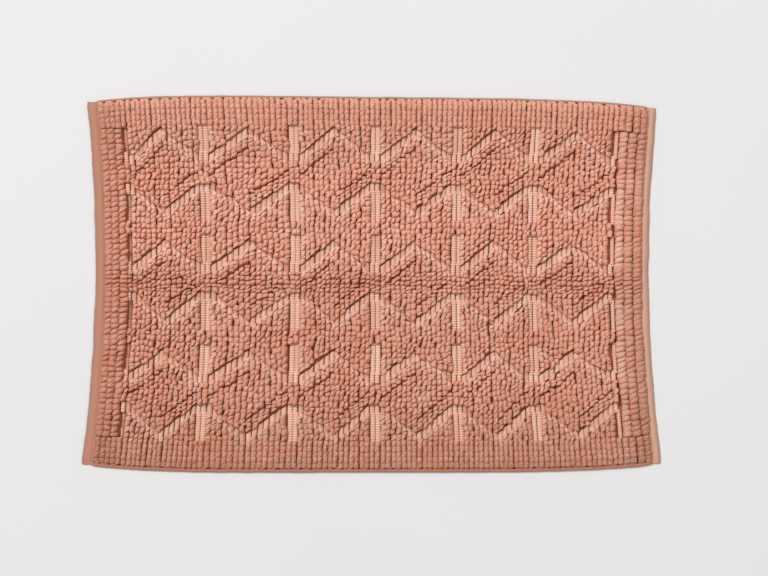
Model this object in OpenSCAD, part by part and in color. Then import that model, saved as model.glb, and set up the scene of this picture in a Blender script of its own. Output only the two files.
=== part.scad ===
// Woven cotton bath mat with a sculpted loop pile.
// A flat woven ground carries rows of raised pile. Zigzag channels and short
// upright channels, where the picks lie flat, leave rows of raised diamonds.
// The two short ends are turned under and stitched, the long edges are selvedges.
//
// Frame: +X along the length, +Y across the width, +Z up.
// The origin is the middle of the underside, on the floor. Millimetres.

/* [Outline] */
// Length from corner to corner along a long edge
corner_length = 920; // [915:1:1100]
// How far the middle of each short end sits inside its corners
end_pinch = 17.5; // [0:0.5:20]
// Width across the middle
middle_width = 602; // [590:1:700]
// How far each long edge falls back at its corners
edge_drop = 15; // [0:0.5:20]

/* [Thickness] */
// Thickness of the flat woven ground
ground_thick = 3; // [2:0.1:4]
// Height of the loops above the ground
pile_height = 11; // [6:0.5:18]
// Thickness of the turned and stitched ends
hem_thick = 4.5; // [4:0.1:6]
// Thickness of the selvedge along each long edge
selvedge_thick = 4.5; // [4:0.1:6]
// Height of the flat picks in the channels, above the ground
flat_pick_height = 4.5; // [0.8:0.1:4.8]

/* [Edges] */
// Width of the turned end at -X
left_hem_width = 17; // [12:0.5:24]
// Width of the turned end at +X
right_hem_width = 14; // [12:0.5:24]
// Width of each selvedge
selvedge_width = 6; // [4:0.5:10]
// Distance from the inner edge of a hem to its stitching
stitch_margin = 3.5; // [2:0.5:6]
// Spacing of the stitches
stitch_pitch = 4.4; // [3:0.1:8]
// Gap between one stitch and the next
stitch_gap = 1.2; // [0.6:0.1:2]

/* [Pattern] */
// Mean length of one repeat of the diamonds
repeat_length = 131; // [120:0.5:133]
// How far the pattern sits to the +X side of the middle
pattern_shift = -4.5; // [-6:0.5:6]
// Width of the upright channels
strip_width = 13; // [11:0.5:18]
// Length of the straight part of a zigzag, where it passes an upright channel
foot_length = 24; // [20:1:40]
// Width of a zigzag channel, measured across the mat
channel_width = 13; // [8:0.5:16]
// Length of the bridge of pile that splits an upright channel in a large diamond
bridge_length = 23; // [16:0.5:30]

/* [Uneven weave, to the +X side] */
// How far the second upright channel has crept from its even place
second_channel_creep = -6; // [-8:0.5:8]
// How far the third upright channel has crept
third_channel_creep = 7; // [-8:0.5:8]
// How far the fourth upright channel has crept
fourth_channel_creep = 5; // [-8:0.5:8]
// How far the fifth upright channel has crept
fifth_channel_creep = 5; // [-8:0.5:8]
// How far the sixth upright channel has crept
sixth_channel_creep = -2; // [-8:0.5:8]

/* [Zigzags, from the middle line] */
// Inner zigzag, beside an upright channel
inner_foot = 23; // [18:0.5:26]
// Inner zigzag, half a repeat along
inner_peak = 64; // [58:0.5:68]
// Second zigzag, half a repeat along
second_peak = 112.5; // [108:0.5:118]
// Second zigzag, beside an upright channel
second_foot = 152; // [148:0.5:158]
// Outer zigzag, beside an upright channel
outer_foot = 202; // [196:0.5:208]
// Outer zigzag, half a repeat along
outer_peak = 245.5; // [240:0.5:252]

/* [Hidden] */

pile_colour = [0.78, 0.52, 0.42];
hem_colour = [0.77, 0.53, 0.43];
channel_colour = [0.89, 0.68, 0.56];
thread_colour = [0.80, 0.56, 0.46];

repeats = 6;
creep = [
    0, second_channel_creep, third_channel_creep, fourth_channel_creep,
    fifth_channel_creep, sixth_channel_creep, 0
];
corner_x = corner_length / 2;
corner_y = middle_width / 2 - edge_drop;
half_channel = channel_width / 2;
half_strip = strip_width / 2;
half_foot = foot_length / 2;
half_bridge = bridge_length / 2;

// The long borders start where the outer zigzag peaks end
border_y = outer_peak + half_channel;
// Middle of the upright channels in the large diamonds
large_y = (inner_foot + second_foot) / 2;

// Two cords lie side by side in an upright channel
cord_offset = 0.24 * strip_width;
cord_radius = 0.22 * strip_width;

thread_width = 0.9;
thread_height = 0.6;

// Stations along half of each curved edge
end_steps = 8;
edge_steps = 16;
edge_power = 5;
tiny = 0.001;

// Both curved edges as straight runs between stations: the short ends pinch in as a
// parabola, and the long edges stay straight until they fall back near the corners
end_table = [
    for (i = [-end_steps : end_steps])
        let (t = i / end_steps)
        [t * corner_y, corner_x - end_pinch * (1 - t * t)]
];
edge_table = [
    for (i = [-edge_steps : edge_steps])
        let (t = i / edge_steps)
        [t * corner_x, middle_width / 2 - edge_drop * pow(abs(t), edge_power)]
];

function reversed(line) = [for (i = [len(line) - 1 : -1 : 0]) line[i]];
function flipped_x(line) = [for (p = line) [-p.x, p.y]];
function flipped_y(line) = [for (p = line) [p.x, -p.y]];
function raised(line, dy) = [for (p = line) [p.x, p.y + dy]];
// A line without its last point, so that the next line can start there
function open_end(line) = [for (i = [0 : len(line) - 2]) line[i]];

// Stations of a table from one place to another, with both ends
function stretch(table, from, to) =
    let (
        low = min(from, to),
        high = max(from, to),
        inside = [for (p = table) if (p[0] > low + tiny && p[0] < high - tiny) p],
        line = concat([[low, lookup(low, table)]], inside, [[high, lookup(high, table)]])
    )
    from < to ? line : reversed(line);

// Points of the +X end, moved in by dx, from y0 to y1
function end_line(dx, y0, y1) = [for (p = stretch(end_table, y0, y1)) [p[1] - dx, p[0]]];
// Points of the +Y edge, moved in by dy, from x0 to x1
function edge_line(dy, x0, x1) = [for (p = stretch(edge_table, x0, x1)) [p[0], p[1] - dy]];

// Where the +X end moved in by dx meets the +Y edge moved in by dy
function meeting(dx, dy, y = corner_y, tries = 12) =
    let (x = lookup(y, end_table) - dx)
    tries == 0 ? [x, y] : meeting(dx, dy, lookup(x, edge_table) - dy, tries - 1);

// Places of the upright channels, and of the peaks between them
function column_x(k) = (k - repeats / 2) * repeat_length + pattern_shift + creep[k];
function peak_x(k) = (column_x(k) + column_x(k + 1)) / 2;

// Centre line of a zigzag channel, from the first upright channel to the last
function zigzag_line(foot, peak) = concat(
    [[column_x(0) - half_strip, foot]],
    [for (k = [0 : repeats - 1]) each [
        [column_x(k) + half_foot, foot],
        [peak_x(k), peak],
        [column_x(k + 1) - half_foot, foot]
    ]],
    [[column_x(repeats) + half_strip, foot]]
);

// Flat solid between two heights
module slab(low, high, outline) {
    translate([0, 0, low])
        linear_extrude(high - low)
            polygon(outline);
}

module pile_slab(outline) {
    slab(ground_thick, ground_thick + pile_height, outline);
}

module front_side() { mirror([0, 1, 0]) children(); }
module left_side() { mirror([1, 0, 0]) children(); }

// Room for the upright channels between two distances from the middle
module upright_gaps(y0, y1) {
    for (k = [0 : repeats])
        translate([column_x(k) - half_strip, y0, ground_thick - 1])
            cube([strip_width, y1 - y0, pile_height + 2]);
}

// Turned end at +X
module hem_slab(width) {
    inner = meeting(width, 0);
    slab(0, hem_thick, concat(
        end_line(0, -corner_y, corner_y),
        end_line(width, inner.y, -inner.y)
    ));
}

// Row of stitches on top of a hem of this width at +X
module stitch_row(width) {
    gaps = floor(2 * (corner_y - stitch_pitch) / stitch_pitch);
    for (i = [0 : gaps]) {
        y = (i - gaps / 2) * stitch_pitch;
        x = lookup(y, end_table) - width + stitch_margin;
        translate([x, y, hem_thick + thread_height / 2])
            cube([thread_width, stitch_pitch - stitch_gap, thread_height], center = true);
    }
}

// Woven edge at +Y, between the hems
module selvedge_slab() {
    right_outer = meeting(right_hem_width, 0);
    right_inner = meeting(right_hem_width, selvedge_width);
    left_outer = meeting(left_hem_width, 0);
    left_inner = meeting(left_hem_width, selvedge_width);
    slab(0, selvedge_thick, concat(
        open_end(end_line(right_hem_width, right_inner.y, right_outer.y)),
        open_end(edge_line(0, right_outer.x, -left_outer.x)),
        open_end(flipped_x(end_line(left_hem_width, left_outer.y, left_inner.y))),
        open_end(edge_line(selvedge_width, -left_inner.x, right_inner.x))
    ));
}

// Long border at +Y, with the half diamonds that hang from it between the outer peaks
module long_border_slab() {
    right = meeting(right_hem_width, selvedge_width);
    left = meeting(left_hem_width, selvedge_width);
    difference() {
        pile_slab(concat(
            raised(zigzag_line(outer_foot, outer_peak), half_channel),
            [[column_x(repeats) + half_strip, border_y]],
            open_end(end_line(right_hem_width, border_y, right.y)),
            open_end(edge_line(selvedge_width, right.x, -left.x)),
            flipped_x(end_line(left_hem_width, left.y, border_y)),
            [[column_x(0) - half_strip, border_y]]
        ));
        upright_gaps(outer_foot + half_channel - 1, border_y);
    }
}

// Short border at +X, from the last upright channel at inner_x to the hem
module short_border_slab(inner_x, width) {
    pile_slab(concat(
        [[inner_x, -border_y]],
        end_line(width, -border_y, border_y),
        [[inner_x, border_y]]
    ));
}

// Row of diamonds joined by necks, between two zigzags
module diamond_row(low_foot, low_peak, high_foot, high_peak) {
    pile_slab(concat(
        raised(zigzag_line(low_foot, low_peak), half_channel),
        reversed(raised(zigzag_line(high_foot, high_peak), -half_channel))
    ));
}

module small_diamond_row() {
    diamond_row(second_foot, second_peak, outer_foot, outer_peak);
}

// Large diamonds, each cut by an upright channel above and below its bridge
module large_diamond_row() {
    difference() {
        diamond_row(inner_foot, inner_peak, second_foot, second_peak);
        upright_gaps(inner_foot + half_channel - 1, large_y - half_bridge);
        upright_gaps(large_y + half_bridge, second_foot - half_channel + 1);
    }
}

// Flat picks that lie in a zigzag channel
module zigzag_slab(foot, peak) {
    line = zigzag_line(foot, peak);
    slab(ground_thick, ground_thick + flat_pick_height, concat(
        raised(line, -half_channel),
        reversed(raised(line, half_channel))
    ));
}

// Two low rounded cords side by side, from y0 to y1
module cord_pair(y0, y1) {
    for (side = [-1, 1])
        translate([side * cord_offset, y1, ground_thick])
            rotate([90, 0, 0])
                intersection() {
                    translate([0, flat_pick_height - cord_radius, 0])
                        cylinder(r = cord_radius, h = y1 - y0, $fn = 48);
                    translate([-cord_radius, 0, 0])
                        cube([2 * cord_radius, flat_pick_height, y1 - y0]);
                }
}

// Cords of one upright channel on the +Y side of the middle
module half_channel_cords() {
    cord_pair(inner_foot + half_channel, large_y - half_bridge);
    cord_pair(large_y + half_bridge, second_foot - half_channel);
    cord_pair(outer_foot + half_channel, border_y);
}

module ground_cloth() {
    right = meeting(right_hem_width, selvedge_width);
    left = meeting(left_hem_width, selvedge_width);
    color(channel_colour) slab(0, ground_thick, concat(
        open_end(end_line(right_hem_width, -right.y, right.y)),
        open_end(edge_line(selvedge_width, right.x, -left.x)),
        open_end(flipped_x(end_line(left_hem_width, left.y, -left.y))),
        open_end(flipped_y(edge_line(selvedge_width, -left.x, right.x)))
    ));
}

module right_hem() { color(hem_colour) hem_slab(right_hem_width); }
module left_hem() { color(hem_colour) left_side() hem_slab(left_hem_width); }
module right_hem_stitching() { color(thread_colour) stitch_row(right_hem_width); }
module left_hem_stitching() { color(thread_colour) left_side() stitch_row(left_hem_width); }

module back_selvedge() { color(pile_colour) selvedge_slab(); }
module front_selvedge() { color(pile_colour) front_side() selvedge_slab(); }

module back_border_pile() { color(pile_colour) long_border_slab(); }
module front_border_pile() { color(pile_colour) front_side() long_border_slab(); }
module right_border_pile() {
    color(pile_colour) short_border_slab(column_x(repeats) + half_strip, right_hem_width);
}
module left_border_pile() {
    color(pile_colour) left_side() short_border_slab(half_strip - column_x(0), left_hem_width);
}

module back_small_diamonds() { color(pile_colour) small_diamond_row(); }
module front_small_diamonds() { color(pile_colour) front_side() small_diamond_row(); }
module back_large_diamonds() { color(pile_colour) large_diamond_row(); }
module front_large_diamonds() { color(pile_colour) front_side() large_diamond_row(); }
module middle_diamonds() {
    color(pile_colour) diamond_row(-inner_foot, -inner_peak, inner_foot, inner_peak);
}

module back_inner_zigzag() { color(channel_colour) zigzag_slab(inner_foot, inner_peak); }
module back_second_zigzag() { color(channel_colour) zigzag_slab(second_foot, second_peak); }
module back_outer_zigzag() { color(channel_colour) zigzag_slab(outer_foot, outer_peak); }
module front_inner_zigzag() { color(channel_colour) zigzag_slab(-inner_foot, -inner_peak); }
module front_second_zigzag() { color(channel_colour) zigzag_slab(-second_foot, -second_peak); }
module front_outer_zigzag() { color(channel_colour) zigzag_slab(-outer_foot, -outer_peak); }

// All the cords of upright channel k
module channel_cords(k) {
    color(channel_colour) translate([column_x(k), 0, 0]) {
        half_channel_cords();
        front_side() half_channel_cords();
    }
}

ground_cloth();
left_hem();
right_hem();
left_hem_stitching();
right_hem_stitching();
front_selvedge();
back_selvedge();
front_border_pile();
back_border_pile();
left_border_pile();
right_border_pile();
front_small_diamonds();
back_small_diamonds();
front_large_diamonds();
back_large_diamonds();
middle_diamonds();
front_outer_zigzag();
front_second_zigzag();
front_inner_zigzag();
back_inner_zigzag();
back_second_zigzag();
back_outer_zigzag();
channel_cords(0);  // channel_cords_1
channel_cords(1);  // channel_cords_2
channel_cords(2);  // channel_cords_3
channel_cords(3);  // channel_cords_4
channel_cords(4);  // channel_cords_5
channel_cords(5);  // channel_cords_6
channel_cords(6);  // channel_cords_7
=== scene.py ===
"""Looks of the woven bath mat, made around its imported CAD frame.

Every pick of the weave is a yarn that runs across the mat, along Y. Where it is raised it is a
string of plump loops, and where a channel crosses it lies flat under fine warp ribs. The weave is
laid out in flat coordinates (u along the mat, v across it), and to_mat() bends it to the outline.
"""

import math
from typing import NamedTuple

import bpy
import numpy as np
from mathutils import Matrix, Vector


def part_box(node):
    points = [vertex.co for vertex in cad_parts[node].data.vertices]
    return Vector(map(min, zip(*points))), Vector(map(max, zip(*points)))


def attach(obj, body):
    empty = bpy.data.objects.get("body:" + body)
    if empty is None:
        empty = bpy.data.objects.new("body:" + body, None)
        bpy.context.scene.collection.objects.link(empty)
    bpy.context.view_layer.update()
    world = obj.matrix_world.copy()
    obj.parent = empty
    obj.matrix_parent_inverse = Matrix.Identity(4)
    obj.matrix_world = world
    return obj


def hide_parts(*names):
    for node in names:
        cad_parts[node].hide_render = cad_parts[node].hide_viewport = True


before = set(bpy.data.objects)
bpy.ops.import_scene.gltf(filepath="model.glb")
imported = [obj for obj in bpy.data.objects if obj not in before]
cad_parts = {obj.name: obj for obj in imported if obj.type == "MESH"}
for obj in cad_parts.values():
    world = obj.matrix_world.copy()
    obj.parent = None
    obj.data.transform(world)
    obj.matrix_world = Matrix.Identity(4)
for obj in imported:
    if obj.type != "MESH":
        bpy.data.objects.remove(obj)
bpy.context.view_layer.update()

MM = 0.001


def low_of(node):
    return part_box(node)[0]


def high_of(node):
    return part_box(node)[1]


# Outline and heights, read from the frame
CORNER_X = high_of("right_hem").x
MIDDLE_Y = high_of("back_selvedge").y
GROUND_TOP = high_of("ground_cloth").z
PILE_TOP = high_of("middle_diamonds").z
HEM_TOP = high_of("left_hem").z
LEFT_HEM = low_of("ground_cloth").x - low_of("left_hem").x
RIGHT_HEM = high_of("right_hem").x - high_of("ground_cloth").x
END_PINCH = high_of("left_hem").x - low_of("left_hem").x - LEFT_HEM
SELVEDGE = high_of("back_selvedge").y - high_of("ground_cloth").y
EDGE_DROP = 15 * MM
EDGE_POWER = 5
MEAN_END_X = CORNER_X - END_PINCH * 2 / 3
PILE_LEFT = -MEAN_END_X + LEFT_HEM
PILE_RIGHT = MEAN_END_X - RIGHT_HEM

# Pattern, read from the frame
CHANNEL_CORDS = [f"channel_cords_{k + 1}" for k in range(7)]
CHANNEL_X = [(low_of(n).x + high_of(n).x) / 2 for n in CHANNEL_CORDS]
REPEAT = (CHANNEL_X[-1] - CHANNEL_X[0]) / (len(CHANNEL_X) - 1)
# Upright channels as the weave was counted out, evenly spaced, and how far each has crept along
COLUMNS = [CHANNEL_X[0] + k * REPEAT for k in range(len(CHANNEL_X))]
CREEP = [x - column for x, column in zip(CHANNEL_X, COLUMNS)]
HALF_CHANNEL = (high_of("back_inner_zigzag").y - high_of("middle_diamonds").y) / 2
BORDER_Y = high_of("channel_cords_1").y
# Half the level foot of a zigzag at an upright channel, and half the pile bridge across that channel
HALF_FOOT = 12 * MM
HALF_BRIDGE = 11.5 * MM
# Half the opening of a slanted channel that climbs to the right, and of one that falls
OPEN_GAP = 6.6 * MM
CLOSED_GAP = 2.2 * MM
PILE_FIELDS = ("large_diamonds", "small_diamonds", "border_pile")
SIDE_NAMES = {1: "back_", -1: "front_"}


def zigzag_ends(node, foot_is_low):
    """Distances of a zigzag's centre line from the middle, at its feet and at its peaks."""
    low, high = low_of(node).y + HALF_CHANNEL, high_of(node).y - HALF_CHANNEL
    return (low, high) if foot_is_low else (high, low)


ZIGZAGS = [
    ("inner_zigzag", *zigzag_ends("back_inner_zigzag", True)),
    ("second_zigzag", *zigzag_ends("back_second_zigzag", False)),
    ("outer_zigzag", *zigzag_ends("back_outer_zigzag", True)),
]
LARGE_Y = (ZIGZAGS[0][1] + ZIGZAGS[1][1]) / 2

# Weave: picks along the mat, rows of ties across it, and the fine warp ribs over flat picks
PICKS_PER_REPEAT = 16
END_PICKS = 3
CORNER_PICKS = 4
PICK = REPEAT / PICKS_PER_REPEAT
ROW = 8.7 * MM
MIDDLE_ROWS = (4.0 * MM, 10.5 * MM, 17.0 * MM)
RIB = 3.9 * MM

# Loops: height, sections of the plied yarn, and where along a loop they are taken
PILE = PILE_TOP - GROUND_TOP
RING_SIDES = 16
STRANDS = 4
STRAND_GROOVE = 0.11
STRAND_TWIST = 2 * math.pi / (24 * MM)
LOOP_STATIONS = (0.0, 0.07, 0.26, 0.5, 0.74, 0.93)
LOOP_ROOT = GROUND_TOP - 0.4 * MM
LEAN = (0.9 * MM, -0.8 * MM)
# Loops beside a crease, and how deep the folds are drawn there and along the middle
CREASE_LOOP = (6.6 * MM, 7.5 * MM)
FOLD = 0.7
MIDDLE_FOLD = 0.15
# How the loops at a slanted channel wander and turn to follow it
END_WANDER = 1.2
END_TURN = 0.85
# Loops on the left of an upright channel lean away from it and leave a shadow line
STRIP_SHIFT = 2.6 * MM
STRIP_LEAN = 4.5 * MM
FAR = 1.0

# Hems, ground and selvedges
HEM_SECTION_STEPS = 22
HEM_STEP = 0.8 * MM
SEAM_INSET = 3.5 * MM
STITCH_PITCH = 4.4 * MM
STITCH_LENGTH = 3.6 * MM
GROUND_GRID = (401, 121)
UNDERSIDE_RELIEF = 1.1 * MM
CORD_STEP = 1.3 * MM
CORD_SIDES = 12

# Colours, from the darkest to the palest of each cotton
# The darkest pile and channel stops are painted shade, used where the yarn lies low between loops and under
# overhangs
PILE_SHADES = (
    (0.0, (0.46, 0.14, 0.07)),
    (0.22, (0.58, 0.19, 0.10)),
    (0.5, (0.63, 0.285, 0.192)),
    (1.0, (0.73, 0.455, 0.355)),
)
CHANNEL_SHADES = ((0.0, (0.48, 0.18, 0.10)), (0.5, (0.69, 0.39, 0.28)), (1.0, (0.82, 0.60, 0.48)))
# Both hems are the same cloth; the left is given darker colours than the right
LEFT_HEM_SHADES = ((0.375, 0.182, 0.125), (0.45, 0.21, 0.143), (0.52, 0.26, 0.182))
RIGHT_HEM_SHADES = ((0.44, 0.27, 0.20), (0.58, 0.325, 0.23), (0.66, 0.40, 0.29))
EDGE_SHADES = ((0.32, 0.15, 0.10), (0.41, 0.20, 0.14), (0.50, 0.27, 0.20))
FLOOR_SHADES = ((0.0, (0.69, 0.682, 0.69)), (1.0, (0.715, 0.706, 0.715)))

# Studio
FLOOR_HALF = 3.0
KEY_PLACE, KEY_POWER = (-7.3, 6.6, 10.0), 1480.0
FILL_PLACE, FILL_POWER = (2.6, 2.6, 4.6), 50.0
LIGHT_SIZE = 3.0
STUDIO_LIGHT = 0.54
CAMERA_PLACE = (-0.1294, -0.2166, 2.59)
CAMERA_TILT = (math.radians(4.59), math.radians(-3.2), 0.0)
CAMERA_LENS = 76.2


# ---------------------------------------------------------------- shape of the mat

def end_x(y):
    """Distance of a short end from the middle, at y."""
    t = y / (MIDDLE_Y - EDGE_DROP)
    return CORNER_X - END_PINCH * (1 - t * t)


def edge_y(x):
    """Distance of a long edge from the middle, at x."""
    return MIDDLE_Y - EDGE_DROP * np.abs(x / CORNER_X) ** EDGE_POWER


def to_mat(u, v):
    """Flat weave coordinates to the place on the mat."""
    y = v * edge_y(u) / MIDDLE_Y
    crept = u + np.interp(u, COLUMNS, CREEP)
    return crept * end_x(y) / MEAN_END_X, y


class Drift:
    """Smooth seeded noise over the mat, from -1 to 1, with bumps of about the given size."""

    def __init__(self, seed, size_u, size_v):
        self.size_u, self.size_v = size_u, size_v
        self.grid = np.random.default_rng(seed).uniform(-1, 1, (64, 128))

    def __call__(self, u, v):
        a = np.asarray(u, float) / self.size_u + 32
        b = np.asarray(v, float) / self.size_v + 64
        i, j = np.floor(a).astype(int), np.floor(b).astype(int)
        s, t = a - i, b - j
        s, t = s * s * (3 - 2 * s), t * t * (3 - 2 * t)
        i, j = i % 63, j % 127
        g = self.grid
        near = g[i, j] * (1 - t) + g[i, j + 1] * t
        far = g[i + 1, j] * (1 - t) + g[i + 1, j + 1] * t
        return near * (1 - s) + far * s


drift_u = Drift(11, 34 * MM, 22 * MM)
drift_v = Drift(12, 26 * MM, 30 * MM)
drift_height = Drift(13, 40 * MM, 32 * MM)
drift_grain = Drift(14, 90 * MM, 60 * MM)
drift_slant = Drift(15, 50 * MM, 40 * MM)
drift_tint = Drift(16, 120 * MM, 80 * MM)


def smooth(low, high, value):
    """0 up to low, 1 from high on, and an even S between them."""
    t = np.clip((value - low) / (high - low), 0, 1)
    return t * t * (3 - 2 * t)


def inside_pattern(u, v):
    """1 among the diamonds, falling to 0 in the borders."""
    across = 1 - smooth(BORDER_Y - 8 * MM, BORDER_Y + 6 * MM, np.abs(v))
    along = 1 - smooth(0, 14 * MM, np.maximum(COLUMNS[0] - u, u - COLUMNS[-1]))
    return across * along


def moved(u, v):
    """Place on the mat of a point of the weave, with the wander that the loops have."""
    inside = inside_pattern(u, v)
    wander = (0.5 + 1.9 * inside) * MM
    return to_mat(u + wander * drift_u(u, v), v + 0.8 * wander * drift_v(u, v))


# ---------------------------------------------------------------- layout of the weave

def column_offset(u):
    """Distance from u to the nearest upright channel."""
    return min(abs(u - x) for x in COLUMNS)


def nearest_column(u):
    """Number of the upright channel nearest to u, from 0 on the left."""
    return min(range(len(COLUMNS)), key=lambda k: abs(u - COLUMNS[k]))


def zigzag_v(u, foot, peak):
    """Centre line of a zigzag channel at u."""
    t = (column_offset(u) - HALF_FOOT) / (REPEAT / 2 - HALF_FOOT)
    return foot + (peak - foot) * min(1, max(0, t))


def half_gap(u, foot, peak, side):
    """Half the opening of a zigzag at u: wide where it climbs to the right, nearly closed where it falls."""
    climb = (peak - foot) * (u - COLUMNS[nearest_column(u)]) * side
    aslant = smooth(HALF_FOOT, HALF_FOOT + 14 * MM, column_offset(u))
    slanted_gap = OPEN_GAP if climb > 0 else CLOSED_GAP
    return float(HALF_CHANNEL + (slanted_gap - HALF_CHANNEL) * aslant)


def picks(rng):
    """Each pick's place, its width and the part of the mat it runs through.

    The end borders have fewer, wider picks beside the pattern ("left", "right") than in the four
    corners ("corner"). Those between them ("pattern") run right across the mat.
    """
    for part, low, high, count in (
        ("left", PILE_LEFT, COLUMNS[0] - 0.5 * MM, END_PICKS),
        ("corner", PILE_LEFT, COLUMNS[0], CORNER_PICKS),
        ("pattern", COLUMNS[0], COLUMNS[-1], PICKS_PER_REPEAT * (len(COLUMNS) - 1)),
        ("right", COLUMNS[-1] + 3.6 * MM, PILE_RIGHT, END_PICKS),
        ("corner", COLUMNS[-1], PILE_RIGHT, CORNER_PICKS),
    ):
        width = (high - low) / count
        for i in range(count):
            yield low + (i + 0.5) * width + 0.45 * MM * rng.normal(), width, part


def flat_stretches(u, part, side):
    """Stretches of the pick at u that lie flat, behind (side 1) or before (side -1) the middle line.

    Each is (from, to, node), with distances from the middle line.
    """
    if part != "pattern":
        return []
    flats = []
    for name, foot, peak in ZIGZAGS:
        level, gap = zigzag_v(u, foot, peak), half_gap(u, foot, peak, side)
        flats.append((level - gap, level + gap, SIDE_NAMES[side] + name))
    if column_offset(u) < PICK:
        cords = CHANNEL_CORDS[nearest_column(u)]
        flats.append((flats[0][1], LARGE_Y - HALF_BRIDGE, cords))
        flats.append((LARGE_Y + HALF_BRIDGE, flats[1][0], cords))
        flats.append((flats[2][1], BORDER_Y, cords))
    return sorted(flats)


def raised_stretches(u, part):
    """Stretches of the pick at u that are raised, over the whole width: (from, to, node)."""
    last = MIDDLE_Y - SELVEDGE
    back = BORDER_Y + 4 * MM * float(drift_v(u, BORDER_Y))
    front = -BORDER_Y + 4 * MM * float(drift_v(u, -BORDER_Y))
    if part == "corner":
        return [(-last, front, "front_border_pile"), (back, last, "back_border_pile")]
    if part != "pattern":
        return [(front, back, part + "_border_pile")]
    levels = [zigzag_v(u, foot, peak) for _, foot, peak in ZIGZAGS]
    first = {}
    stretches = []
    for side in (-1, 1):
        flats = flat_stretches(u, part, side)
        first[side] = flats[0][0]
        ends = [f[0] for f in flats[1:]] + [last]
        for (_, start, _), end in zip(flats, ends):
            if end - start < 0.4 * ROW:
                continue
            field = PILE_FIELDS[sum((start + end) / 2 > level for level in levels) - 1]
            low, high = sorted((side * start, side * end))
            stretches.append((low, high, SIDE_NAMES[side] + field))
    stretches.append((-first[-1], first[1], "middle_diamonds"))
    return stretches


def row_lines(start, end, slanted, creased):
    """Where the warp ties a raised stretch down between its loops, and how much deeper each tie is drawn.

    The rows run straight across the mat, but the loops beside a slanted channel follow the channel.
    """
    inset = [0.55 * ROW, 0.55 * ROW]
    own = {}
    for i, (edge, inward) in enumerate(((start, 1), (end, -1))):
        if creased[i] and end - start > 4.2 * ROW:
            for k in (1, 2, 3):
                own[edge + inward * k * CREASE_LOOP[i]] = FOLD if k == 3 else 0
            inset[i] = 3 * CREASE_LOOP[i] + 0.5 * ROW
        elif slanted[i] and end - start > 1.6 * ROW * (1 + i):
            own[edge + inward * 0.95 * ROW] = 0
            inset[i] = 1.45 * ROW
    rows = [*MIDDLE_ROWS, *np.arange(MIDDLE_ROWS[-1] + ROW, MIDDLE_Y, ROW)]
    for away in rows:
        for v in (away, -away):
            if start + inset[0] < v < end - inset[1]:
                own[v] = MIDDLE_FOLD if away == MIDDLE_ROWS[0] else 0
    own[start] = own[end] = 0
    lines = sorted(own)
    return lines, [own[v] for v in lines]


def channel_slope(u, v, part):
    """Slope of the zigzag channel at the end v of a stretch, or 0 where it does not run aslant."""
    if part != "pattern" or abs(v) > BORDER_Y or column_offset(u) <= HALF_FOOT:
        return 0.0
    _, foot, peak = min(ZIGZAGS, key=lambda z: abs(zigzag_v(u, z[1], z[2]) - abs(v)))
    rising = (u > COLUMNS[nearest_column(u)]) == (v > 0)
    return (peak - foot) / (REPEAT / 2 - HALF_FOOT) * (1 if rising else -1)


# ---------------------------------------------------------------- yarn surfaces

class Rings:
    """Cross-sections of yarn, gathered one stretch at a time and then skinned in one go."""

    FIELDS = (
        "u", "v", "half", "bottom", "top", "full", "lean_u", "lean_v", "shear", "along",
        "tint", "rib", "shade",
    )

    def __init__(self, sides=RING_SIDES, power=0.8, groove=0.0, twist=0.0):
        self.rows, self.starts = [], []
        self.sides, self.power = sides, power
        self.groove, self.twist = groove, twist

    def start(self):
        self.starts.append(len(self.rows))

    def add(self, **ring):
        self.rows.append([ring.get(f, 0.0) for f in self.FIELDS])

    def mesh(self, name, place):
        """Closed tubes through the rings, with the yarn's own coordinates as attributes."""
        data = np.array(self.rows)
        columns = data.T[:, :, None]
        u, v, half, bottom, top, full, lean_u, lean_v, shear, along, tint, rib, shade = columns
        side = np.arange(self.sides)
        angle = 2 * math.pi * (side + 0.5) / self.sides - self.twist * along
        cos, sin = np.cos(angle), np.sin(angle)
        out = np.sign(cos) * np.abs(cos) ** self.power
        up = np.sign(sin) * np.abs(sin) ** self.power
        ridge = 0.5 + 0.5 * np.cos(2 * math.pi * STRANDS * side / self.sides)
        depth = 1 - self.groove * (1 - ridge)
        share = (up * depth + 1) / 2
        across = half * out * depth
        x, y = place(u + across, v)
        points = np.stack(
            [
                x + lean_u * share,
                y + lean_v * share + shear * across,
                bottom + (top - bottom) * share,
            ],
            axis=-1,
        )
        n = self.sides
        attributes = {
            "tint": np.repeat(tint[:, 0], n),
            "rib": np.repeat(rib[:, 0], n),
            "shade": np.repeat(shade[:, 0], n),
            "ridge": np.tile(ridge, len(data)),
            "rise": ((points[..., 2] - GROUND_TOP) / np.where(full > 0, full, PILE)).ravel(),
        }
        return mesh_piece(name, points.reshape(-1, 3), self.quads(), attributes)

    def quads(self):
        """Walls between the rings of each stretch, and a cap of quads at both of its ends."""
        n = self.sides
        side = np.arange(n)
        ends = self.starts[1:] + [len(self.rows)]
        firsts = np.concatenate([np.arange(a, b - 1) for a, b in zip(self.starts, ends)])
        a = firsts[:, None] * n + side
        b = firsts[:, None] * n + (side + 1) % n
        walls = np.stack([a, a + n, b + n, b], axis=-1).reshape(-1, 4)
        i = np.arange(n // 2 - 1)
        cap = np.stack([i, i + 1, n - 2 - i, n - 1 - i], axis=-1)
        lower = (np.array(self.starts)[:, None, None] * n + cap).reshape(-1, 4)
        upper = ((np.array(ends)[:, None, None] - 1) * n + cap[:, ::-1]).reshape(-1, 4)
        return np.concatenate([walls, lower, upper])


def mesh_piece(name, points, faces, attributes=None):
    """A smooth-shaded mesh object of the mat."""
    mesh = bpy.data.meshes.new(name)
    mesh.from_pydata(points, [], faces)
    mesh.polygons.foreach_set("use_smooth", np.ones(len(mesh.polygons), bool))
    for key, values in (attributes or {}).items():
        layer = mesh.attributes.new(key, "FLOAT", "POINT")
        layer.data.foreach_set("value", np.asarray(values, np.float32))
    mesh.validate()
    obj = bpy.data.objects.new(name, mesh)
    bpy.context.scene.collection.objects.link(obj)
    return obj


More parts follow.
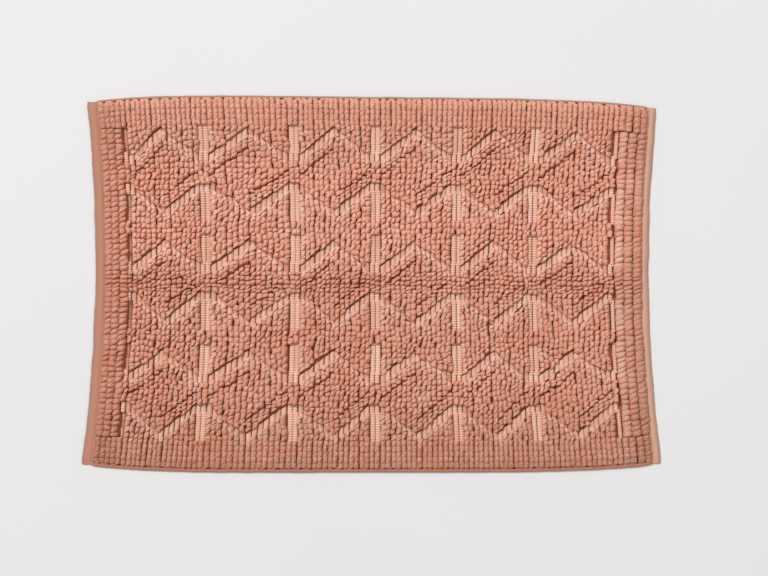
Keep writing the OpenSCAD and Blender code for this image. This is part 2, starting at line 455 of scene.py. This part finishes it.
# ---------------------------------------------------------------- raised picks

def grain(u, v):
    """0 where the loops stand in upright ropes, 1 where they close up into level rows."""
    middle = 1 - smooth(9 * MM, 26 * MM, np.abs(v))
    left = 1 - smooth(COLUMNS[0] + 20 * MM, COLUMNS[1] + 30 * MM, u)
    rows = np.clip(0.25 + 0.45 * drift_grain(u, v) + 0.55 * left, 0, 0.85)
    left_border = 1 - smooth(COLUMNS[0] - 4 * MM, COLUMNS[0] + 6 * MM, u)
    right_border = smooth(COLUMNS[-1], COLUMNS[-1] + 8 * MM, u)
    beside = 1 - smooth(BORDER_Y - 6 * MM, BORDER_Y + 6 * MM, np.abs(v))
    border = (0.95 * left_border + 0.55 * right_border) * (0.35 + 0.65 * beside)
    return max(float(middle), float(rows * inside_pattern(u, v)), float(border))


def beside_upright(v):
    """Whether the upright channels are open at v."""
    away = abs(v)
    return (
        ZIGZAGS[0][1] < away < LARGE_Y - HALF_BRIDGE
        or LARGE_Y + HALF_BRIDGE < away < ZIGZAGS[1][1]
        or ZIGZAGS[2][1] < away < BORDER_Y
    )


def facing_light(u, v):
    """Distance from the upright channel on the left of a point, or far if there is none."""
    column = COLUMNS[nearest_column(u)]
    return u - column - PICK / 2 if beside_upright(v) and u > column else FAR


def beside_strip(u, v):
    """Whether a loop stands just left of an upright channel."""
    return beside_upright(v) and PICK < COLUMNS[nearest_column(u)] - u < 2 * PICK


def slump(u, v):
    """Share of their full height that the loops reach: less by the outer edges, which they roll over."""
    across = smooth(0, 14 * MM, MIDDLE_Y - SELVEDGE - abs(v))
    left = smooth(0, 16 * MM, u + MEAN_END_X - LEFT_HEM)
    right = smooth(0, 16 * MM, MEAN_END_X - RIGHT_HEM - u)
    return float((0.55 + 0.45 * across) * (0.65 + 0.35 * left) * (0.6 + 0.4 * right))


def painted_shade(u, v):
    """Painted shade and light on the loops: darker and duller in the front border and the end borders, and
    paler in a band just behind the middle.
    """
    front = smooth(0.15, 0.27, -v)
    left = 1 - smooth(PILE_LEFT, COLUMNS[0] + 25 * MM, u)
    right = smooth(COLUMNS[-1] - 10 * MM, PILE_RIGHT, u)
    pale = smooth(0, 0.06, v) * (1 - smooth(0.17, 0.22, v))
    return float(0.6 * pale - front - 1.3 * left - 1.2 * right)


class Loop:
    """Size, lean and colour of one loop at (u, v), drawn at random about what is usual there.

    It stands to_start and to_end from the slanted channels at the two ends of its stretch.
    """

    def __init__(self, rng, u, v, width, to_start, to_end):
        rows = grain(u, v)
        inside = float(inside_pattern(u, v))
        lit_edge = float(smooth(0, 17 * MM, min(facing_light(u, v), to_end)))
        dark_edge = float(smooth(0, 9 * MM, to_start))
        crown = 0.62 + 0.30 * lit_edge + 0.08 * dark_edge
        fullness = 1.11 + 0.04 * rows + 0.12 * (u < COLUMNS[0])
        self.middle = v
        self.half = 0.5 * width * fullness * (1 + 0.05 * rng.normal())
        self.tall = PILE * crown * (0.98 + 0.05 * float(drift_height(u, v)) + 0.04 * rng.normal())
        self.slant = 0.03 + inside * (0.06 + 0.18 * float(drift_slant(u, v)) + 0.10 * rng.normal())
        self.shear = 0.20 + 0.16 * rng.normal() + 0.15 * inside * (1 - rows)
        self.lean_u = LEAN[0] * (0.25 + 0.75 * inside) + (0.4 + 0.6 * inside) * rng.normal() * MM
        self.lean_v = LEAN[1] * inside + (0.3 + 0.7 * inside) * rng.normal() * MM
        # Loops at a channel edge that faces the light get a much paler tint: a painted highlight
        self.tint = 0.6 * rng.normal() + 0.5 * float(drift_tint(u, v)) + 5.0 * (1 - lit_edge)
        # Painted shade of the front and end borders, and painted light in the band behind the middle
        self.shade = painted_shade(u, v)
        self.tie_width = 0.90 - 0.10 * rows - 0.02 * inside
        self.tie_top = 0.88 - 0.30 * rows - 0.08 * inside
        self.shift_u = (0.2 + 0.5 * inside) * rng.normal() * MM
        if beside_strip(u, v):
            self.shift_u = STRIP_SHIFT
            self.lean_u -= STRIP_LEAN


class RaisedStretch:
    """A raised stretch of one pick: a string of loops from start to end, closed at both.

    The slopes are those of the channels at its two ends, and its end faces follow them.
    """

    def __init__(self, rng, u, width, start, end, slopes, creased):
        self.u, self.width = u, width
        self.start, self.end = start, end
        self.slopes = slopes
        self.slanted = (slopes[0] != 0, slopes[1] != 0)
        lines, self.creases = row_lines(start, end, self.slanted, creased)
        self.lines = np.sort(np.array(lines) + self.wander(rng, len(lines)))
        self.ties = rng.uniform(0.35, 1.35, len(lines))

    def wander(self, rng, count):
        """How far each tie has strayed from its row."""
        middle = (self.start + self.end) / 2
        inside = float(inside_pattern(self.u, middle))
        loose = inside * (1 - grain(self.u, middle))
        shift = 0.16 * loose * ROW * rng.normal() + rng.normal(0, (0.5 + 0.5 * inside) * MM, count)
        shift[0] *= END_WANDER if self.slanted[0] else 0
        shift[-1] *= END_WANDER if self.slanted[1] else 0
        return shift

    def add_to(self, rings, rng):
        rings.start()
        for k in range(len(self.lines) - 1):
            middle = (self.lines[k] + self.lines[k + 1]) / 2
            to_start = middle - self.start if self.slanted[0] else FAR
            to_end = self.end - middle if self.slanted[1] else FAR
            loop = Loop(rng, self.u, middle, self.width, to_start, to_end)
            for phase in LOOP_STATIONS:
                self.add_ring(rings, loop, k, phase)
        self.close(rings, loop)

    def add_ring(self, rings, loop, k, phase):
        """One section of the loop after tie k, at its share phase of the way to the next tie."""
        low, high = self.lines[k], self.lines[k + 1]
        deep = self.creases[k] * (phase < 0.3) + self.creases[k + 1] * (phase > 0.7)
        swell = (4 * phase * (1 - phase)) ** (0.5 + 0.5 * deep)
        tuck = 0.45 if k == 0 and phase == 0 else 1.0
        tie = self.ties[k] if phase < 0.5 else self.ties[k + 1]
        waist = 1 - (1 - loop.tie_width) * tie - 0.4 * deep
        dip = 1 - (1 - loop.tie_top) * tie - deep
        v = low + phase * (high - low)
        full = loop.tall * slump(self.u, v)
        rings.add(
            u=self.u + loop.shift_u * swell + loop.slant * (v - loop.middle),
            v=v,
            half=loop.half * (waist + (1 - waist) * swell) * tuck,
            bottom=LOOP_ROOT,
            top=GROUND_TOP + full * (dip + (1 - dip) * swell) * tuck,
            full=full,
            lean_u=loop.lean_u * swell,
            lean_v=loop.lean_v * swell,
            shear=self.shear_at(v, loop.shear),
            tint=loop.tint,
            shade=loop.shade,
            along=v,
        )

    def shear_at(self, v, own):
        """Shear of a section: the loop's own, giving way at the two ends to the slope of the channel."""
        near_start = float(1 - smooth(0, 0.9 * ROW, v - self.start))
        near_end = float(1 - smooth(0, 0.9 * ROW, self.end - v))
        turned = self.slopes[0] * near_start + self.slopes[1] * near_end
        return own * (1 - near_start - near_end) + END_TURN * turned

    def close(self, rings, loop):
        """The small last section, which tucks the yarn into the ground."""
        v = self.lines[-1]
        rings.add(
            u=self.u + loop.slant * (v - loop.middle),
            v=v,
            half=loop.half * 0.4,
            bottom=LOOP_ROOT,
            top=GROUND_TOP + loop.tall * 0.4,
            shear=END_TURN * self.slopes[1],
            tint=loop.tint,
            shade=loop.shade,
            along=v,
        )


# ---------------------------------------------------------------- flat picks

class FlatYarn(NamedTuple):
    """How a pick lies where it is flat.

    Heights are those of its two ends. Its ribs fade by the share fade into the colour of the loops,
    and from the share dive of its length on it goes down under the loops that overhang it, where its
    ribs fade out and it is painted darker as shade.
    """

    half: float
    heights: tuple
    shift: float = 0.0
    tucked: float = 3 * MM
    fade: float = 0.0
    dive: float = 1.0


FIRST_CORD = FlatYarn(2.2 * MM, (1.2 * MM, 1.2 * MM), shift=1.6 * MM, tucked=2 * MM)
LAST_CORD = FlatYarn(3.2 * MM, (4.4 * MM, 4.4 * MM), shift=3.6 * MM, tucked=2 * MM)
LEFT_CORD = FlatYarn(4.2 * MM, (5.2 * MM, 5.2 * MM), shift=1.2 * MM, tucked=2 * MM)
RIGHT_CORD = LEFT_CORD._replace(shift=1.5 * MM)
RISING = FlatYarn(4.0 * MM, (7.4 * MM, 4.8 * MM), fade=0.5, dive=0.68)
FALLING = FlatYarn(4.0 * MM, (6.0 * MM, 6.0 * MM), fade=0.6)
FOOT = FlatYarn(3.8 * MM, (5.2 * MM, 5.0 * MM))
OVERHUNG_FOOT = FOOT._replace(dive=0.85)


def yarn_of(node, u, slope, overhung):
    """Which kind of flat yarn the pick at u is, in a node."""
    if node == CHANNEL_CORDS[0]:
        return FIRST_CORD
    if node == CHANNEL_CORDS[-1]:
        return LAST_CORD
    if node in CHANNEL_CORDS:
        return RIGHT_CORD if u > COLUMNS[nearest_column(u)] else LEFT_CORD
    if slope:
        return RISING if slope > 0 else FALLING
    return OVERHUNG_FOOT if overhung else FOOT


def flat_pick(rings, rng, u, low, high, yarn, slope):
    """Adds one flat stretch of a pick, crossed by warp ribs."""
    start, end = low - yarn.tucked, high + yarn.tucked
    steps = max(10, round(6 * (end - start) / RIB))
    rib_depth = 1.5 * MM if slope else 0.9 * MM
    tint = rng.normal()
    rings.start()
    for i in range(steps + 1):
        t = i / steps
        v = start + (end - start) * t
        faded = yarn.fade * (1 - t if slope > 0 else 1)
        rise = abs(math.sin(math.pi * v / RIB)) ** 0.8 * (1 - faded)
        height = yarn.heights[0] + (yarn.heights[1] - yarn.heights[0]) * t
        # Under the overhang the pick sinks and its ribs fade out, which paints it darker as shade
        height *= 1 - 0.8 * float(smooth(yarn.dive, yarn.dive + 0.16, t))
        rise *= 1 - float(smooth(yarn.dive, yarn.dive + 0.12, t))
        rings.add(
            u=u + yarn.shift,
            v=v,
            half=yarn.half * (0.95 + 0.05 * rise),
            bottom=GROUND_TOP - 0.6 * MM,
            top=GROUND_TOP + height - rib_depth * (1 - rise),
            shear=slope,
            tint=tint,
            rib=rise,
            along=v,
        )


def weave():
    """All the picks, as one Rings for each CAD node they belong to."""
    rng = np.random.default_rng(7)
    raised, flat = {}, {}
    for u, width, part in picks(np.random.default_rng(5)):
        for start, end, node in raised_stretches(u, part):
            rings = raised.setdefault(node, Rings(power=1.08, groove=STRAND_GROOVE, twist=STRAND_TWIST))
            slopes = (channel_slope(u, start, part), channel_slope(u, end, part))
            folded = node.endswith(("small_diamonds", "middle_diamonds"))
            creased = (folded and slopes[0] > 0, folded and slopes[1] > 0)
            RaisedStretch(rng, u, width, start, end, slopes, creased).add_to(rings, rng)
        for side in (-1, 1):
            flats = flat_stretches(u, part, side)
            stretches = [(*sorted((side * a, side * b)), node) for a, b, node in flats]
            for low, high, node in stretches:
                rings = flat.setdefault(node, Rings(10, 0.85))
                aslant = channel_slope(u, (low + high) / 2, part)
                slope = 0.0 if node in CHANNEL_CORDS else aslant
                overhung = all(abs(high - other[0]) > 1 * MM for other in stretches)
                flat_pick(rings, rng, u, low, high, yarn_of(node, u, slope, overhung), slope)
    return raised, flat


# ---------------------------------------------------------------- ground cloth

def grid_faces(rows, columns, closed=False):
    """Quads of a grid of rows by columns, wrapping round in the columns if closed."""
    i = np.arange(rows - 1)[:, None]
    j = np.arange(columns if closed else columns - 1)[None]
    k = (j + 1) % columns
    quads = [i * columns + j, i * columns + k, (i + 1) * columns + k, (i + 1) * columns + j]
    return np.stack(quads, -1).reshape(-1, 4)


def boundary_ring(rows, columns):
    """Indices round the rim of a grid, anticlockwise with rows along X and columns along Y."""
    ids = np.arange(rows * columns).reshape(rows, columns)
    return np.concatenate([ids[:-1, 0], ids[-1, :-1], ids[:0:-1, -1], ids[0, :0:-1]])


def ground_piece():
    """Flat woven base: plain on top, under the loops, and ridged by the picks underneath."""
    ends = MEAN_END_X - LEFT_HEM - 0.5 * MM, MEAN_END_X - RIGHT_HEM - 0.5 * MM
    across = MIDDLE_Y - SELVEDGE + 0.5 * MM
    u = np.linspace(-ends[0], ends[1], GROUND_GRID[0])
    v = np.linspace(-across, across, GROUND_GRID[1])
    uu, vv = np.meshgrid(u, v, indexing="ij")
    x, y = to_mat(uu, vv)
    ridge = np.abs(np.cos(math.pi * (uu - COLUMNS[0]) / PICK))
    tie = np.abs(np.cos(math.pi * (vv - MIDDLE_ROWS[-1]) / ROW))
    under = UNDERSIDE_RELIEF * (1 - ridge ** 0.6 * (0.75 + 0.25 * tie))
    top = np.full_like(under, GROUND_TOP)
    lower = np.stack([x, y, under], -1).reshape(-1, 3)
    upper = np.stack([x, y, top], -1).reshape(-1, 3)
    n = len(lower)
    sheet = grid_faces(*GROUND_GRID)
    rim = boundary_ring(*GROUND_GRID)
    after = np.roll(rim, -1)
    walls = np.stack([rim, after, after + n, rim + n], -1)
    faces = np.concatenate([sheet[:, ::-1], sheet + n, walls])
    attributes = {
        "tint": np.zeros(2 * n),
        "ridge": np.full(2 * n, 0.5),
        # The top of the ground takes the lowest rise, so it is painted darker than any loop: painted shade
        # where it shows between the loops
        "rise": np.repeat([0.8, -0.3], n),
    }
    return mesh_piece("ground_cloth_woven", np.concatenate([lower, upper]), faces, attributes)


# ---------------------------------------------------------------- hems

def hem_section(width):
    """Section of a hem, from the inner edge underneath, round the fold, and back over the top.

    Gives each point's distance in from the fold, its height, and whether it is on top.
    """
    radius = HEM_TOP / 2
    reach = width + 2 * MM
    bend = np.linspace(-math.pi / 2, math.pi / 2, 9)
    over = radius + np.linspace(0, 1, HEM_SECTION_STEPS)[1:] * (reach - radius)
    inward = np.concatenate([[reach], radius - radius * np.cos(bend), over])
    height = np.concatenate([[0.3 * MM], radius + radius * np.sin(bend), np.full(len(over), HEM_TOP)])
    on_top = np.concatenate([[0], (np.sin(bend) > 0.3) * 1.0, np.ones(len(over))])
    return inward, height, on_top


def hem_faces(rows, columns, mirrored):
    """Walls round the hem's section, and a face over each of its two ends."""
    walls = grid_faces(rows, columns, closed=True)
    first, last = list(range(columns)), list(range((rows - 1) * columns, rows * columns))
    if mirrored:
        return [*(list(f) for f in walls[:, ::-1]), first[::-1], last]
    return [*(list(f) for f in walls), first, last[::-1]]


def hem_piece(name, side, width, seed):
    """Turned end: a flat fold with a round edge, faint warp ribs and a seam pressed in by its stitches."""
    wave = Drift(seed, 30 * MM, 26 * MM)
    fine = Drift(seed + 1, 10 * MM, 9 * MM)
    half_length = MIDDLE_Y - EDGE_DROP + 1.2 * MM
    y = np.linspace(-half_length, half_length, int(2 * half_length / HEM_STEP))
    inward, height, on_top = hem_section(width)
    near_end = smooth(0, 9 * MM, half_length - np.abs(y))[:, None]

    seam = 0.5 * MM * np.exp(-(((inward - width + SEAM_INSET) / (1.1 * MM)) ** 2))
    rib = np.abs(np.sin(math.pi * y / RIB))[:, None] ** 0.8
    rolled = (1.6 * MM if side > 0 else 0.6 * MM) * (1 - smooth(0, 6.5 * MM, inward))
    lift = on_top * (-rolled + 0.22 * MM * rib + 0.35 * MM * wave(0 * y, y)[:, None] - seam)
    z = (height + lift) * (0.8 + 0.2 * near_end)

    drawn_in = (0.7 * MM * wave(y * 0 + 0.3, y) + 0.3 * MM * fine(0 * y, y))[:, None]
    rounded = 1.1 * MM * (1 - near_end) * (inward < HEM_TOP / 2)
    x = side * (end_x(y)[:, None] - (inward + drawn_in * (1 - inward / width).clip(0) + rounded))
    frayed = np.sign(y)[:, None] * 0.6 * MM * fine(x, y[:, None]) * (1 - near_end)
    yy = y[:, None] * np.ones_like(z) + frayed

    # Painted shade: the outer rolled edge of the fold is coloured darker
    rim = (1 - smooth(3.5 * MM, 6.5 * MM, inward)) * np.ones_like(z)
    points = np.stack([x, yy, z], -1).reshape(-1, 3)
    return mesh_piece(name, points, hem_faces(len(y), len(inward), side < 0), {"rim": rim.ravel()})


def stitches_piece(name, node):
    """A row of rounded stitches that dip into the cloth at both ends, over the CAD's own row."""
    low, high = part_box(node)
    side = 1 if low.x > 0 else -1
    width = RIGHT_HEM if side > 0 else LEFT_HEM
    count = int((high.y - low.y) / STITCH_PITCH) + 1
    rings = Rings(8, 1.0)
    for i in range(count):
        middle = (i - (count - 1) / 2) * STITCH_PITCH
        rings.start()
        for t in np.linspace(-1, 1, 9):
            y = middle + t * STITCH_LENGTH / 2
            arch = 1 - t * t
            rings.add(
                u=side * (end_x(middle) - width + SEAM_INSET),
                v=y,
                half=0.42 * MM * (0.45 + 0.55 * arch ** 0.5),
                bottom=HEM_TOP - (0.5 - 0.15 * arch) * MM,
                top=HEM_TOP + (-0.3 + 0.75 * arch) * MM,
                along=y,
            )
    return rings.mesh(name, lambda u, v: (u, v))


# ---------------------------------------------------------------- selvedges

def edge_cord(name, side, seed, reach):
    """The cord that the picks turn round, along a long edge, thinner at its two ends."""
    wobble = Drift(seed, 18 * MM, 18 * MM)
    stations = []
    for u in np.arange(-reach, reach, CORD_STEP):
        x, y = to_mat(u, side * MIDDLE_Y)
        twist = 0.22 * MM * math.sin(2 * math.pi * u / (4.8 * MM))
        sway = 0.35 * MM * float(wobble(u, 0))
        fat = 0.5 + 0.5 * float(smooth(0, 6 * MM, reach - abs(u)))
        stations.append((x, y - side * (2.4 * MM + sway), (2.3 * MM + twist) * fat, (4.9 * MM + twist) * fat))
    x, y, half, top = np.array(stations).T[:, :, None]
    bottom = 0.1 * MM
    angle = 2 * math.pi * (np.arange(CORD_SIDES) + 0.5) / CORD_SIDES
    out = np.sign(np.cos(angle)) * np.abs(np.cos(angle)) ** 0.9
    up = np.sign(np.sin(angle)) * np.abs(np.sin(angle)) ** 0.9
    points = np.stack([x + 0 * out, y + half * out, bottom + (top - bottom) * (up + 1) / 2], -1)
    n = len(stations) * CORD_SIDES
    cap = list(range(CORD_SIDES))
    walls = grid_faces(len(stations), CORD_SIDES, closed=True)[:, ::-1]
    faces = [list(f) for f in walls] + [cap, [n - CORD_SIDES + i for i in reversed(cap)]]
    attributes = {"tint": np.zeros(n), "ridge": np.full(n, 0.5), "rise": np.full(n, 0.7)}
    return mesh_piece(name, points.reshape(-1, 3), faces, attributes)


def pick_turns(name, side, seed, reach):
    """The turned end of every pick, arched over the cloth's edge towards the cord."""
    rng = np.random.default_rng(seed)
    inner, outer = MIDDLE_Y - SELVEDGE - 5.0 * MM, MIDDLE_Y - 1.2 * MM
    turns = Rings(10, 0.85)
    for u, width, part in picks(np.random.default_rng(5)):
        if abs(u) > reach - 3 * MM or part in ("left", "right"):
            continue
        tint = 0.6 * rng.normal()
        tilt = 0.25 * rng.normal()
        turns.start()
        for t in np.linspace(0, 1, 9):
            v = side * (inner + (outer - inner) * t)
            arch = math.sqrt(max(0.0, 1 - (2 * t - 1) ** 2))
            turns.add(
                u=u + tilt * (v - side * inner),
                v=v,
                half=0.47 * width * (0.45 + 0.55 * arch),
                bottom=1.0 * MM,
                top=(3.4 + 5.0 * arch - 3.2 * t) * MM,
                along=v,
                tint=tint,
                rib=0.15 + 0.3 * arch,
            )
    return turns.mesh(name, to_mat)


# ---------------------------------------------------------------- materials

class Shader:
    """A cotton material under construction: short names for the nodes that every one of them uses."""

    def __init__(self, name, roughness, sheen):
        self.material = bpy.data.materials.new(name)
        self.material.use_nodes = True
        self.tree = self.material.node_tree
        self.surface = self.tree.nodes["Principled BSDF"]
        self.surface.inputs["Roughness"].default_value = roughness
        self.surface.inputs["Specular IOR Level"].default_value = 0.25
        self.surface.inputs["Sheen Weight"].default_value = sheen
        self.surface.inputs["Sheen Roughness"].default_value = 0.45
        self.surface.inputs["Sheen Tint"].default_value = (1.0, 0.82, 0.72, 1.0)

    def fill(self, socket, value):
        """Links a signal to a socket, or sets a plain value on it."""
        if isinstance(value, bpy.types.NodeSocket):
            self.tree.links.new(value, socket)
        else:
            socket.default_value = value

    def node(self, kind, **inputs):
        made = self.tree.nodes.new(kind)
        for key, value in inputs.items():
            self.fill(made.inputs[key], value)
        return made

    def maths(self, operation, *values):
        made = self.tree.nodes.new("ShaderNodeMath")
        made.operation = operation
        for socket, value in zip(made.inputs, values):
            self.fill(socket, value)
        return made.outputs[0]

    def attribute(self, name):
        made = self.tree.nodes.new("ShaderNodeAttribute")
        made.attribute_name = name
        return made.outputs["Fac"]

    def noise(self, scale, detail, stretch=(1.0, 1.0, 1.0)):
        place = self.node("ShaderNodeTexCoord").outputs["Object"]
        stretched = self.node("ShaderNodeMapping", Vector=place, Scale=stretch)
        where = stretched.outputs["Vector"]
        return self.node("ShaderNodeTexNoise", Vector=where, Scale=scale, Detail=detail).outputs["Fac"]

    def weighted(self, *terms):
        """One half plus the swing of each signal about its centre, times its weight."""
        total = 0.5
        for signal, centre, weight in terms:
            swing = self.maths("MULTIPLY", self.maths("SUBTRACT", signal, centre), weight)
            total = self.maths("ADD", swing, total)
        return total

    def colour(self, factor, stops, shade=None):
        """Base colour from a ramp, made duller and darker where the shade signal is below 0."""
        ramp = self.node("ShaderNodeValToRGB", Fac=factor)
        elements = ramp.color_ramp.elements
        while len(elements) < len(stops):
            elements.new(0.5)
        for element, (position, colour) in zip(elements, stops):
            element.position = position
            element.color = (*colour, 1.0)
        result = ramp.outputs["Color"]
        if shade:
            value = self.maths("MULTIPLY_ADD", shade, 0.14, 0.98)
            saturation = self.maths("MULTIPLY_ADD", shade, -0.03, 1.0)
            adjusted = self.node("ShaderNodeHueSaturation", Color=result, Value=value, Saturation=saturation)
            result = adjusted.outputs["Color"]
        self.tree.links.new(result, self.surface.inputs["Base Color"])

    def bump(self, height, strength, distance):
        made = self.node("ShaderNodeBump", Strength=strength, Distance=distance, Height=height)
        self.tree.links.new(made.outputs["Normal"], self.surface.inputs["Normal"])


def pile_cotton():
    """Soft plied yarn of the loops: painted paler on its crowns, and painted shade, browner and darker, down
    between them and in its strand grooves.
    """
    shader = Shader("pile_cotton", 0.75, 0.12)
    fibre = shader.noise(430.0, 5.0)
    factor = shader.weighted(
        (shader.attribute("tint"), 0.0, 0.06),
        (shader.noise(14.0, 2.0), 0.5, 0.3),
        (fibre, 0.5, 1.6),
        # Painted shade: strand grooves and the low parts between loops are coloured darker, the crowns paler
        (shader.attribute("ridge"), 0.5, 0.10),
        (shader.attribute("rise"), 0.78, 0.6),
    )
    shader.colour(factor, PILE_SHADES, shade=shader.attribute("shade"))
    shader.bump(fibre, 1.0, 1.6 * MM)
    return shader.material


def channel_cotton():
    """Flat picks under the paler warp, which shows as fine ribs, with painted shade darkening them where they
    lie low.
    """
    shader = Shader("channel_cotton", 0.9, 0.15)
    fibre = shader.noise(1100.0, 4.0)
    factor = shader.weighted(
        (shader.attribute("tint"), 0.0, 0.06),
        (shader.noise(30.0, 2.0), 0.5, 0.3),
        (fibre, 0.5, 0.4),
        (shader.attribute("rib"), 0.6, 0.5),
        # Painted shade: the low parts of the flat picks are coloured darker
        (shader.attribute("rise"), 0.42, 0.7),
    )
    shader.colour(factor, CHANNEL_SHADES)
    shader.bump(fibre, 0.4, 0.4 * MM)
    return shader.material


def woven_cotton(name, shades):
    """Smooth plain weave, as on the hems, with painted shade making it a little darker at the rolled rim."""
    shader = Shader(name, 0.9, 0.2)
    fibre = shader.noise(700.0, 4.0)
    factor = shader.weighted(
        (shader.noise(160.0, 2.0, (1.0, 6.0, 1.0)), 0.5, 0.5),
        (fibre, 0.5, 0.35),
        (shader.attribute("rim"), 0.0, -0.4),
    )
    shader.colour(factor, list(zip((0.0, 0.5, 1.0), shades)))
    shader.bump(fibre, 0.35, 0.3 * MM)
    return shader.material


def floor_material():
    shader = Shader("pale_floor", 0.75, 0.0)
    shader.colour(shader.noise(3.0, 2.0), FLOOR_SHADES)
    return shader.material


# ---------------------------------------------------------------- build

def dress(piece, material, slot, *nodes):
    """Gives a piece its material and ties it to the frame."""
    piece.data.materials.append(material)
    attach(piece, "root")
    if nodes:
        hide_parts(*nodes)
    return piece


def build_weave(pile, channel):
    """The loops of every pile field and the flat picks of every channel."""
    raised, flat = weave()
    loops = [
        dress(rings.mesh(node + "_loops", moved), pile, "pile_cotton", node)
        for node, rings in sorted(raised.items())
    ]
    flats = [
        dress(rings.mesh(node + "_picks", to_mat), channel, "channel_cotton", node)
        for node, rings in sorted(flat.items())
    ]
    return loops + flats


def build_hem(name, side, width, seed, material):
    fold = hem_piece(name + "_fold", side, width, seed)
    thread = stitches_piece(name + "_stitches", name + "_stitching")
    return [
        dress(fold, material, "hem_cotton", name),
        dress(thread, material, "sewing_thread", name + "_stitching"),
    ]


def build_selvedge(name, side, seed, cord_material, turn_material):
    reach = MEAN_END_X - 13 * MM
    cord = edge_cord(name + "_cord", side, seed, reach)
    turns = pick_turns(name + "_cord_turns", side, seed, reach)
    return [
        dress(cord, cord_material, "selvedge_cotton", name),
        dress(turns, turn_material, "selvedge_cotton"),
    ]


def build_mat():
    pile = pile_cotton()
    channel = channel_cotton()
    hem_left = woven_cotton("left_hem_cotton", LEFT_HEM_SHADES)
    hem_right = woven_cotton("right_hem_cotton", RIGHT_HEM_SHADES)
    edge_cotton = woven_cotton("edge_cotton", EDGE_SHADES)
    pieces = [
        *build_weave(pile, channel),
        *build_hem("left_hem", -1, LEFT_HEM, 31, hem_left),
        *build_hem("right_hem", 1, RIGHT_HEM, 41, hem_right),
        *build_selvedge("back_selvedge", 1, 51, edge_cotton, channel),
        *build_selvedge("front_selvedge", -1, 61, edge_cotton, pile),
    ]
    ground = dress(ground_piece(), pile, "pile_cotton", "ground_cloth")


def build_floor():
    half = FLOOR_HALF
    corners = [(-half, -half, 0), (half, -half, 0), (half, half, 0), (-half, half, 0)]
    floor = mesh_piece("floor", corners, [(0, 1, 2, 3)])
    floor.data.materials.append(floor_material())


def area_light(name, place, power, colour):
    """A soft round lamp that faces the middle of the mat."""
    data = bpy.data.lights.new(name, "AREA")
    data.shape = "DISK"
    data.size = LIGHT_SIZE
    data.energy = power
    data.color = colour
    light = bpy.data.objects.new(name, data)
    light.location = place
    light.rotation_euler = (-Vector(place)).to_track_quat("-Z", "Y").to_euler()
    bpy.context.scene.collection.objects.link(light)


def build_lights():
    area_light("key", KEY_PLACE, KEY_POWER, (1.0, 0.985, 0.97))
    area_light("fill", FILL_PLACE, FILL_POWER, (0.98, 0.985, 1.0))
    world = bpy.data.worlds.new("studio")
    bpy.context.scene.world = world
    world.use_nodes = True
    background = world.node_tree.nodes["Background"]
    background.inputs["Color"].default_value = (1.0, 0.99, 0.985, 1.0)
    background.inputs["Strength"].default_value = STUDIO_LIGHT


def build_camera():
    """Above the mat, tilted a few degrees, so that it is seen slightly from its front left."""
    data = bpy.data.cameras.new("camera")
    data.sensor_width = 36.0
    data.lens = CAMERA_LENS
    camera = bpy.data.objects.new("camera", data)
    camera.location = CAMERA_PLACE
    camera.rotation_euler = CAMERA_TILT
    bpy.context.scene.collection.objects.link(camera)
    bpy.context.scene.camera = camera


build_mat()
build_floor()
build_lights()
build_camera()
bpy.context.scene.view_settings.view_transform = "Standard"
